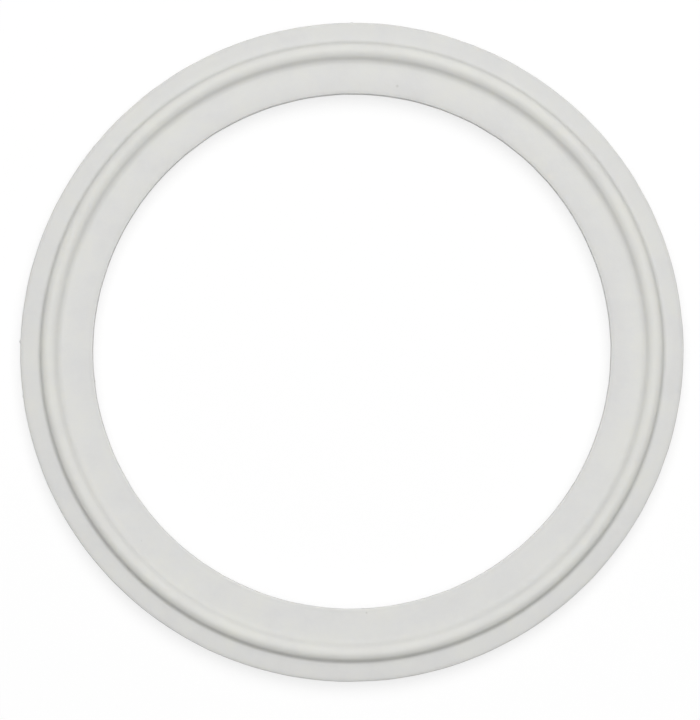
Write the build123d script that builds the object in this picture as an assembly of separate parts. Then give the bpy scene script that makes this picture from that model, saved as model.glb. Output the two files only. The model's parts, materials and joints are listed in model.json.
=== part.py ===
"""Clamp gasket for a 2 1/2 inch sanitary ferrule joint, moulded in one piece from silicone rubber.

A flat ring with a round sealing bead on each face. The ferrules' grooves take the beads, and the land inside
the beads seals round the bore. The frame is the ring's own: origin at its centre, halfway through its
thickness, +Z along its axis. Sizes are in millimetres.
"""

import os
from math import radians, tan

from build123d import *

# Across the ring
bore_diameter = 60.5  # as the tube's bore, so that the line drains with no step
bead_circle_diameter = 70.6  # along the tops of the beads, as the groove in the ferrule
rim_diameter = 77.5  # as the ferrule's flange, so that the clamp closes over it

# Heights
land_thickness = 2.0  # between the two inner lands, which seal
outer_land_step = 0.15  # each outer land starts this far below the inner one, to leave the load on the seal
outer_land_fall = 2.5  # degrees that each outer land then falls away towards the rim, as mould draft
bead_height = 0.8  # each bead stands this far above its inner land

# The bead and the roundings
bead_width = 2.1  # the diameter of the bead's round crown
inner_foot_radius = 0.9  # easy hollow fillet, so that nothing lodges on the product side
outer_foot_radius = 0.5  # tighter hollow fillet on the dry side
edge_radius = 0.2  # the moulded edges at the bore and the rim

# Worked out from the sizes above
bore_radius = bore_diameter / 2
bead_circle_radius = bead_circle_diameter / 2
rim_radius = rim_diameter / 2
inner_height = land_thickness / 2
outer_height = inner_height - outer_land_step
rim_height = outer_height - (rim_radius - bead_circle_radius) * tan(radians(outer_land_fall))
overall_height = land_thickness + 2 * bead_height
crown_centre_height = overall_height / 2 - bead_width / 2


def within(low, high):
    """A test for corners of the section that lie between two radii."""
    return lambda corner: low < corner.X < high


def web_section():
    """The ring's web cut through one side. The step and the start of the fall lie hidden inside the beads."""
    lower = [
        (bore_radius, -inner_height),
        (bead_circle_radius, -inner_height),
        (bead_circle_radius, -outer_height),
        (rim_radius, -rim_height),
    ]
    upper = [(radius, -height) for radius, height in reversed(lower)]
    web = Polygon(*lower, *upper, align=None)
    corners = web.vertices()
    edges = corners.filter_by(within(0, bore_radius + 0.01)) + corners.filter_by(within(rim_radius - 0.01, 1000))
    return fillet(edges, edge_radius)


def bead_section(side):
    """The round of one bead, sunk into the web on that side of it; its seam lies inside the web."""
    return Pos(bead_circle_radius, side * crown_centre_height) * Rot(Z=-90 * side) * Circle(bead_width / 2)


def gasket_section():
    """The whole section, with a hollow fillet where each bead's flank meets a land."""
    section = web_section() + bead_section(1) + bead_section(-1)
    reach = bead_width / 2 + 0.01
    inner_feet = section.vertices().filter_by(within(bead_circle_radius - reach, bead_circle_radius))
    section = fillet(inner_feet, inner_foot_radius)
    outer_feet = section.vertices().filter_by(within(bead_circle_radius, bead_circle_radius + reach))
    outer_feet = [corner for corner in outer_feet if abs(corner.Y) < inner_height]
    return fillet(outer_feet, outer_foot_radius)


def gasket():
    """The section turned once round the ring's axis."""
    return revolve(Plane.XZ * gasket_section(), Axis.Z)


def main():
    os.makedirs("parts", exist_ok=True)
    ring = gasket()
    ring.label = "clamp_gasket"
    export_step(ring, "parts/clamp_gasket.step")
    print(f"rim wall {2 * rim_height:.3f} mm before rounding, overall height {overall_height:.2f} mm")
    print(f"{len(ring.solids())} solid, {len(ring.faces())} faces, volume {ring.volume:.1f} mm3")


main()
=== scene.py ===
# Clamp gasket: one ring of white silicone rubber lying flat on a white table, seen from above.
import json
import math

import bpy
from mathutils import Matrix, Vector, noise


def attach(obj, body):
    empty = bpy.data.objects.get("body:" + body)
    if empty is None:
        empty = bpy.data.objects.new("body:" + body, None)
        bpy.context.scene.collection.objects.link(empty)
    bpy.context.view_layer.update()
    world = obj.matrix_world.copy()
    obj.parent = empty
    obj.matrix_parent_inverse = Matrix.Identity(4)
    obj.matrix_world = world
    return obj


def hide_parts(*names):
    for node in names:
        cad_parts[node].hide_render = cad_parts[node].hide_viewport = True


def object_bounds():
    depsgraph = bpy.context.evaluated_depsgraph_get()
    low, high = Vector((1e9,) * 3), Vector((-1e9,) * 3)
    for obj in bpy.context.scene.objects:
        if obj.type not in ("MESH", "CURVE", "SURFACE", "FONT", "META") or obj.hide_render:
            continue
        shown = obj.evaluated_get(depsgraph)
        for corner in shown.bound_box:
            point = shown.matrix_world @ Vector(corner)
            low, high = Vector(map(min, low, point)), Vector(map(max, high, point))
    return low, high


mm = 0.001  # everything in Blender is in metres

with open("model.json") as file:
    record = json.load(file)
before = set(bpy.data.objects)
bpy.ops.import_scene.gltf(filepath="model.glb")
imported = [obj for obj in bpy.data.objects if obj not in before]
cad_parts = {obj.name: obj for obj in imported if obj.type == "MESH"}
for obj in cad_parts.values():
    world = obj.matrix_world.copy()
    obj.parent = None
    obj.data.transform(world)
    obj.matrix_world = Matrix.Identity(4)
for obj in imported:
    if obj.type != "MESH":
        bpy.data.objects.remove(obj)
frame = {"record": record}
cadLow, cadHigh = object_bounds()
mounts = {mount["name"]: mount for mount in frame["record"]["mounts"]}
rimRadius = (cadHigh.x - cadLow.x) / 2
boreRadius = mounts["bore"]["dims"]["r_mm"] * mm
beadRadius = mounts["upper_bead"]["dims"]["pcd_mm"] / 2 * mm  # of the circle along the top of the bead
faceHeight = mounts["upper_face"]["pos_m"][2]
topHeight = cadHigh.z
tableHeight = cadLow.z
print("frame loaded: rim radius", round(rimRadius / mm, 2), "mm")


gasketSize = {
    # the section
    "beadWidth": 2.1 * mm,
    "innerFootRound": 0.9 * mm,  # hollow fillets each side of the bead
    "outerFootRound": 0.5 * mm,
    "outerLandDrop": 0.15 * mm,  # the outer land is set a little lower than the inner one
    "landFall": math.radians(2.5),  # and thins towards the rim
    "edgeRound": 0.2 * mm,
    "boreEdgeRound": 0.1 * mm,  # crisper than the rim's
    "boreRollOff": 0.1 * mm,  # the inner land sinks a little as it nears the bore
    "boreRollWidth": 2.0 * mm,
    "flashHeight": 0.012 * mm,  # trimmed flash along the mould's parting line
    "flashWidth": 0.16 * mm,
    # how the loose ring differs from a true one
    "beadShift": 0.13 * mm,  # the bead is drawn this much outside its circle
    "beadShiftReach": 1.6 * mm,  # each side of the circle, over which the shift dies away
    "outOfRound": 0.0037,  # a soft ring lies slightly oval
    "outOfRoundTurn": math.radians(17),
    "sag": 0.05 * mm,  # and lifts off the table by this here and there
    "boreOversize": 0.03 * mm,
    "boreOffCentre": 0.08 * mm,
    "waviness": 0.03 * mm,  # of the rim and the bore
    "edgeReach": 0.9 * mm,  # how far into a land the rim's or the bore's own changes carry
    # points along each stretch of the section, and round the ring
    "edgeSteps": 4,
    "footSteps": 6,
    "crownSteps": 16,
    "innerLandSteps": 8,
    "outerLandSteps": 4,
    "stepsRound": 840,
}
# leftovers of the mould: degrees round, mm proud, degrees wide
rimNibs = [(90.1, 0.08, 0.22), (178.3, 0.14, 0.25), (187.7, 0.06, 0.2)]
boreNibs = [(272.5, 0.06, 0.25), (186.4, 0.06, 0.3)]
# smooth noise round the ring: where it is read from, and how many of its bumps fit in a radius
wander = {"rim": (0, 14), "bore": (3, 14), "sag": (7, 0.9)}


def arc(centre, radius, start, end, steps):
    # points along a circle from one angle to another, angles in degrees, ends included
    points = []
    for i in range(steps + 1):
        turn = math.radians(start + (end - start) * i / steps)
        points.append((centre[0] + radius * math.cos(turn), centre[1] + radius * math.sin(turn)))
    return points


def wall(radius, top, side):
    # half of an upright wall, from the parting line up, with the stub of flash standing proud of it
    half = gasketSize["flashWidth"] / 2
    proud = side * gasketSize["flashHeight"]
    return [
        (radius + proud, 0.0),
        (radius + proud * 0.8, half * 0.35),  # the stub is blunt
        (radius, half),
        (radius, half + (top - half) * 0.5),
    ]


def upperSection():
    # from the middle of the bore wall, over the upper face, to the middle of the rim wall
    size = gasketSize
    edge, boreEdge, fall = size["edgeRound"], size["boreEdgeRound"], size["landFall"]
    innerRound, outerRound = size["innerFootRound"], size["outerFootRound"]
    outerHeight = faceHeight - size["outerLandDrop"]
    crown = size["beadWidth"] / 2
    crownHeight = topHeight - crown
    # inner fillet: touches the level land and the crown
    drop = crownHeight - (faceHeight + innerRound)
    reach = crown + innerRound
    innerFoot = (beadRadius - math.sqrt(reach**2 - drop**2), faceHeight + innerRound)
    innerTouch = math.degrees(math.atan2(drop, beadRadius - innerFoot[0]))
    # outer fillet: touches the sloping land and the crown, worked in axes that lean with the land
    lift = crownHeight - outerHeight
    reach = crown + outerRound
    along = -lift * math.sin(fall) + math.sqrt(reach**2 - (outerRound - lift * math.cos(fall)) ** 2)
    outerFoot = (
        beadRadius + along * math.cos(fall) + outerRound * math.sin(fall),
        outerHeight - along * math.sin(fall) + outerRound * math.cos(fall),
    )
    outerTouch = math.degrees(math.atan2(crownHeight - outerFoot[1], beadRadius - outerFoot[0])) % 360
    fallDegrees = math.degrees(fall)
    rimHeight = outerHeight - (rimRadius - beadRadius) * math.tan(fall)
    rimCentre = (rimRadius - edge, rimHeight + edge * math.tan(fall) - edge / math.cos(fall))

    points = wall(boreRadius, faceHeight - boreEdge, -1)
    points += arc((boreRadius + boreEdge, faceHeight - boreEdge), boreEdge, 180, 90, size["edgeSteps"])
    start, end, steps = boreRadius + boreEdge, innerFoot[0], size["innerLandSteps"]
    points += [(start + (end - start) * i / steps, faceHeight) for i in range(1, steps)]
    points += arc(innerFoot, innerRound, -90, innerTouch, size["footSteps"])
    crownStart, crownEnd = innerTouch + 180, outerTouch - 180
    points += arc((beadRadius, crownHeight), crown, crownStart, crownEnd, size["crownSteps"])[1:]
    points += arc(outerFoot, outerRound, outerTouch, 270 - fallDegrees, size["footSteps"])[1:]
    start, end, steps = outerFoot[0] - outerRound * math.sin(fall), rimCentre[0], size["outerLandSteps"]
    for i in range(1, steps):
        radius = start + (end - start) * i / steps
        points.append((radius, outerHeight - (radius - beadRadius) * math.tan(fall)))
    points += arc(rimCentre, edge, 90 - fallDegrees, 0, size["edgeSteps"])
    points += reversed(wall(rimRadius, rimCentre[1], 1))
    return points


def nibHeight(turn, nibs):
    # how far the nibs stand proud at this angle; each is a small bell across the rim or the bore
    height = 0.0
    for centre, proud, width in nibs:
        away = (math.degrees(turn) % 360 - centre + 180) % 360 - 180
        height += proud * mm * math.exp(-((away / width) ** 2))
    return height


def noiseRound(turn, name):
    # smooth noise that runs round the ring without a seam
    start, scale = wander[name]
    return noise.noise(Vector((math.cos(turn), math.sin(turn), start)) * scale)


def fade(distance, reach):
    # 1 at no distance, falling to 0 at reach
    return max(0.0, 1 - distance / reach)


def makeGasket():
    size = gasketSize
    upper = upperSection()
    section = upper + [(radius, -height) for radius, height in reversed(upper[1:-1])]
    steps, count = size["stepsRound"], len(section)
    vertices, faces, across = [], [], []
    for step in range(steps):
        turn = 2 * math.pi * step / steps
        oval = 1 + size["outOfRound"] * math.cos(2 * (turn - size["outOfRoundTurn"]))
        droop = size["sag"] * (0.5 + noiseRound(turn, "sag"))
        rim = nibHeight(turn, rimNibs) + size["waviness"] * noiseRound(turn, "rim")
        offCentre = size["boreOversize"] + size["boreOffCentre"] * math.sin(turn)
        bore = -nibHeight(turn, boreNibs) + offCentre + size["waviness"] * noiseRound(turn, "bore")
        for radius, height in section:
            nearRim = fade(rimRadius - radius, size["edgeReach"])
            nearBore = fade(radius - boreRadius, size["edgeReach"])
            shift = size["beadShift"] * fade(abs(radius - beadRadius), size["beadShiftReach"])
            place = (radius + shift) * oval + rim * nearRim**2 + bore * nearBore**2
            face = (height > 0) - (height < 0)  # 1 above the parting line, -1 below
            rollOff = size["boreRollOff"] * fade(radius - boreRadius, size["boreRollWidth"]) ** 2
            level = height - face * rollOff + droop
            vertices.append((place * math.cos(turn), place * math.sin(turn), level))
            across.append((radius - boreRadius) / (rimRadius - boreRadius))
        here, following = step * count, ((step + 1) % steps) * count
        for i in range(count):
            j = (i + 1) % count
            faces.append((here + i, here + j, following + j, following + i))
    mesh = bpy.data.meshes.new("siliconeRing")
    mesh.from_pydata(vertices, [], faces)
    mesh.attributes.new("acrossRing", "FLOAT", "POINT").data.foreach_set("value", across)
    for polygon in mesh.polygons:
        polygon.use_smooth = True
    ring = bpy.data.objects.new("siliconeRing", mesh)
    bpy.context.scene.collection.objects.link(ring)
    return ring


def linear(hexColour):
    # sRGB hex to the linear RGBA that a shader socket takes
    parts = [int(hexColour[i:i + 2], 16) / 255 for i in (1, 3, 5)]
    return [part / 12.92 if part <= 0.04045 else ((part + 0.055) / 1.055) ** 2.4 for part in parts] + [1.0]


def addNode(tree, kind, settings=None, inputs=None):
    # one node with its own settings; an input is a value, or a socket to link from
    node = tree.nodes.new(kind)
    for name, value in (settings or {}).items():
        setattr(node, name, value)
    for name, value in (inputs or {}).items():
        if isinstance(value, bpy.types.NodeSocket):
            tree.links.new(value, node.inputs[name])
        else:
            node.inputs[name].default_value = value
    return node


def newMaterial(name):
    material = bpy.data.materials.new(name)
    material.use_nodes = True
    material.node_tree.nodes.clear()
    return material, material.node_tree


silicone = {
    "base": "#DBDBD9",  # titanium white filler in clear rubber: a cool white, short of paper white
    "cool": "#D8D8D7",
    "warm": "#DDDDD9",  # faintly ivory in patches
    "speck": "#8E8B82",
    "speckShare": 0.3,  # how much of the speck's colour shows at its middle
    "speckSpread": 1.2,  # a speck fades out at this many times its size
    "patchSize": 4.0 * mm,
    "grainSize": 0.35 * mm,  # the mould's ground finish, drawn coarser than its 0.05 mm so that it shows
    "grainDepth": 0.005 * mm,
    "flowSize": 3.5 * mm,  # slow unevenness left by shrinkage
    "flowDepth": 0.05 * mm,
    "roughness": 0.57,
    "roughnessSpread": 0.04,
    "ior": 1.41,  # silicone rubber
    "scatterShare": 0.5,
    "scatterDepth": 0.9 * mm,
    "scatterByColour": (1.0, 0.95, 0.85),  # red light soaks in furthest
}
# painted shade: darker in the bead's outer foot and over the outer land; thin darker lines along the rim
# and the bore edges, and a little warmth over the bead:
# radius in mm, share of the light kept, warmth
paintedShade = [
    (30.25, 0.97, 0.0), (30.5, 0.95, 0.0), (30.8, 0.985, 0.0), (32.4, 1.0, 0.0),
    (34.2, 1.0, 0.012), (35.95, 1.0, 0.018), (36.3, 0.94, 0.015), (36.5, 0.95, 0.01),
    (36.8, 0.97, 0.0), (38.3, 0.965, 0.0), (38.5, 0.92, 0.0), (38.75, 0.91, 0.0),
]
# bits of dust: degrees round, distance from the axis in mm, size in mm
dust = [
    (80.3, 31.6, 0.22), (341.0, 37.0, 0.16), (303.5, 36.4, 0.14), (273.2, 30.6, 0.16), (222.0, 33.1, 0.1),
]


def siliconeMaterial():
    # moulded white silicone rubber: dull sheen, edges softened by light that soaks in, faint ground finish
    look = silicone
    material, tree = newMaterial("mouldedSilicone")
    place = addNode(tree, "ShaderNodeTexCoord").outputs["Object"]
    patches = addNode(tree, "ShaderNodeTexNoise", None,
                      {"Vector": place, "Scale": 1 / look["patchSize"], "Detail": 5.0, "Roughness": 0.68})
    tint = addNode(tree, "ShaderNodeValToRGB", None, {"Fac": patches.outputs["Fac"]})
    # painted shade across the ring, as a ramp over the radii in the table above
    across = addNode(tree, "ShaderNodeAttribute", {"attribute_name": "acrossRing"})
    shade = addNode(tree, "ShaderNodeValToRGB", None, {"Fac": across.outputs["Fac"]})
    tintStops = [(0.3, linear(look["cool"])), (0.5, linear(look["base"])), (0.7, linear(look["warm"]))]
    shadeStops = []
    for radius, keep, warmth in paintedShade:
        position = (radius * mm - boreRadius) / (rimRadius - boreRadius)
        shadeStops.append((position, (keep, keep, keep * (1 - warmth), 1)))
    for ramp, stops in ((tint.color_ramp, tintStops), (shade.color_ramp, shadeStops)):
        ramp.elements.remove(ramp.elements[1])  # a new ramp has two stops
        ramp.elements[0].position, ramp.elements[0].color = stops[0]
        for position, colour in stops[1:]:
            ramp.elements.new(position).color = colour

    colour = tint.outputs["Color"]
    for angle, radius, size in dust:
        turn = math.radians(angle)
        spot = (radius * mm * math.cos(turn), radius * mm * math.sin(turn), faceHeight)
        away = addNode(tree, "ShaderNodeVectorMath", {"operation": "DISTANCE"}, {0: place, 1: spot})
        near = addNode(tree, "ShaderNodeMapRange", {"interpolation_type": "SMOOTHSTEP"},
                       {"Value": away.outputs["Value"], "From Min": size * mm * look["speckSpread"],
                        "From Max": 0.0, "To Min": 0.0, "To Max": look["speckShare"]})
        mix = addNode(tree, "ShaderNodeMix", {"data_type": "RGBA"},
                      {"Factor": near.outputs["Result"], 6: colour, 7: linear(look["speck"])})
        colour = mix.outputs[2]
    # the colour times the painted shade
    greyed = addNode(tree, "ShaderNodeMix", {"data_type": "RGBA", "blend_type": "MULTIPLY"},
                     {"Factor": 1.0, 6: colour, 7: shade.outputs["Color"]})

    flow = addNode(tree, "ShaderNodeTexNoise", None,
                   {"Vector": place, "Scale": 1 / look["flowSize"], "Detail": 2.5})
    grain = addNode(tree, "ShaderNodeTexNoise", None,
                    {"Vector": place, "Scale": 1 / look["grainSize"], "Detail": 2.0})
    slow = addNode(tree, "ShaderNodeBump", None,
                   {"Strength": 1.0, "Distance": look["flowDepth"], "Height": flow.outputs["Fac"]})
    fine = addNode(tree, "ShaderNodeBump", None,
                   {"Strength": 1.0, "Distance": look["grainDepth"], "Height": grain.outputs["Fac"],
                    "Normal": slow.outputs["Normal"]})
    sheen = addNode(tree, "ShaderNodeMapRange", None,
                    {"Value": patches.outputs["Fac"], "To Min": look["roughness"] - look["roughnessSpread"],
                     "To Max": look["roughness"] + look["roughnessSpread"]})
    shader = addNode(tree, "ShaderNodeBsdfPrincipled", None, {
        "Base Color": greyed.outputs[2],
        "Roughness": sheen.outputs["Result"],
        "IOR": look["ior"],
        "Subsurface Weight": look["scatterShare"],
        "Subsurface Radius": look["scatterByColour"],
        "Subsurface Scale": look["scatterDepth"],
        "Normal": fine.outputs["Normal"],
    })
    addNode(tree, "ShaderNodeOutputMaterial", None, {"Surface": shader.outputs[0]})
    return material


table = {
    "side": 3.0,
    "card": "#F0F0EE",  # as the light that bounces off it sees it
    "plain": "#FFFFFF",  # as the camera sees it
    "whiteShare": 0.75,  # of the table that shows as plain white, the rest takes the ring's soft shadow
    "shadowReach": 0.12,  # beyond this from the ring's centre the table fades
    "plainReach": 0.5,  # to plain white, here and outwards
}


def tableMaterial():
    # matt white card: plain white to the camera, a little greyer to the light that bounces off it
    material, tree = newMaterial("mattCard")
    path = addNode(tree, "ShaderNodeLightPath")
    seen = addNode(tree, "ShaderNodeMath", {"operation": "MAXIMUM"},
                   {0: path.outputs["Is Camera Ray"], 1: path.outputs["Is Glossy Ray"]})
    seen = addNode(tree, "ShaderNodeMath", {"operation": "MAXIMUM"},
                   {0: seen.outputs[0], 1: path.outputs["Is Transmission Ray"]})
    colour = addNode(tree, "ShaderNodeMix", {"data_type": "RGBA"},
                     {"Factor": seen.outputs[0], 6: linear(table["card"]), 7: linear(table["plain"])})
    card = addNode(tree, "ShaderNodeBsdfDiffuse", None, {"Color": colour.outputs[2]})
    plain = addNode(tree, "ShaderNodeEmission", None, {"Color": linear(table["plain"]), "Strength": 1.0})
    place = addNode(tree, "ShaderNodeTexCoord").outputs["Object"]
    away = addNode(tree, "ShaderNodeVectorMath", {"operation": "LENGTH"}, {0: place})
    white = addNode(tree, "ShaderNodeMapRange", {"interpolation_type": "SMOOTHSTEP"},
                    {"Value": away.outputs["Value"], "From Min": table["shadowReach"],
                     "From Max": table["plainReach"], "To Min": table["whiteShare"], "To Max": 1.0})
    share = addNode(tree, "ShaderNodeMath", {"operation": "MULTIPLY"},
                    {0: seen.outputs[0], 1: white.outputs[0]})
    surface = addNode(tree, "ShaderNodeMixShader", None,
                      {0: share.outputs[0], 1: card.outputs[0], 2: plain.outputs[0]})
    addNode(tree, "ShaderNodeOutputMaterial", None, {"Surface": surface.outputs[0]})
    return material


def makeTable():
    half = table["side"] / 2
    mesh = bpy.data.meshes.new("table")
    corners = [(-half, -half), (half, -half), (half, half), (-half, half)]
    mesh.from_pydata([(x, y, tableHeight) for x, y in corners], [], [(0, 1, 2, 3)])
    top = bpy.data.objects.new("table", mesh)
    bpy.context.scene.collection.objects.link(top)
    top.data.materials.append(tableMaterial())


def aim(thing, place, target):
    thing.location = place
    thing.rotation_mode = "QUATERNION"
    thing.rotation_quaternion = (Vector(target) - Vector(place)).to_track_quat("-Z", "Y")


room = {
    "white": "#FFFFFF",
    "fillStrength": 0.21,  # of the light from all round
    "seenStrength": 1.0,  # as the camera sees it: plain white
}
# softboxes: how wide, how far off, from what side (round the ring), how high, and their power
softboxes = {
    "overhead": {
        "size": 1.4, "away": 1.0, "side": math.radians(80), "height": math.radians(88), "watts": 3.95,
    },
    "key": {
        "size": 0.8, "away": 0.9, "side": math.radians(80), "height": math.radians(67), "watts": 5.4,
    },
}


def makeRoom():
    world = bpy.data.worlds.new("softRoom")
    world.use_nodes = True
    tree = world.node_tree
    tree.nodes.clear()
    path = addNode(tree, "ShaderNodeLightPath")
    fill = addNode(tree, "ShaderNodeBackground", None,
                   {"Color": linear(room["white"]), "Strength": room["fillStrength"]})
    seen = addNode(tree, "ShaderNodeBackground", None,
                   {"Color": linear(room["white"]), "Strength": room["seenStrength"]})
    mix = addNode(tree, "ShaderNodeMixShader", None,
                  {0: path.outputs["Is Camera Ray"], 1: fill.outputs[0], 2: seen.outputs[0]})
    addNode(tree, "ShaderNodeOutputWorld", None, {"Surface": mix.outputs[0]})
    bpy.context.scene.world = world


def makeLights():
    for name, box in softboxes.items():
        lamp = bpy.data.lights.new(name, "AREA")
        lamp.shape, lamp.size, lamp.energy = "DISK", box["size"], box["watts"]
        softbox = bpy.data.objects.new(name, lamp)
        bpy.context.scene.collection.objects.link(softbox)
        level, rise = box["away"] * math.cos(box["height"]), box["away"] * math.sin(box["height"])
        aim(softbox, (level * math.cos(box["side"]), level * math.sin(box["side"]), rise), (0, 0, 0))


camera = {
    "distance": 600 * mm,  # held over the table
    "tilt": math.radians(1.6),  # from straight down, leaning towards the viewer
    "frameTall": 84.45 * mm,  # of the table that the picture's height takes in
    "centre": (-0.22 * mm, -0.96 * mm),  # of the picture, on the table
    "sensor": 36.0,  # mm, along the picture's longer side, which is its height
    "nearest": 10 * mm,
    "farthest": 20.0,
}


def makeCamera():
    data = bpy.data.cameras.new("overhead")
    data.sensor_width = camera["sensor"]
    data.lens = camera["sensor"] * camera["distance"] / camera["frameTall"]
    data.clip_start, data.clip_end = camera["nearest"], camera["farthest"]
    overhead = bpy.data.objects.new("overhead", data)
    bpy.context.scene.collection.objects.link(overhead)
    target = Vector((*camera["centre"], 0))
    back = Vector((0, -math.sin(camera["tilt"]), math.cos(camera["tilt"])))
    aim(overhead, target + back * camera["distance"], target)
    bpy.context.scene.camera = overhead


makeCamera()
makeRoom()
makeLights()
makeTable()
print("camera, lights and table are in place")

ring = makeGasket()
ring.data.materials.append(siliconeMaterial())
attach(ring, "root")
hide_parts("clamp_gasket")
print("gasket made:", sum(len(polygon.vertices) - 2 for polygon in ring.data.polygons), "triangles")

bpy.context.scene.view_settings.view_transform = "Standard"
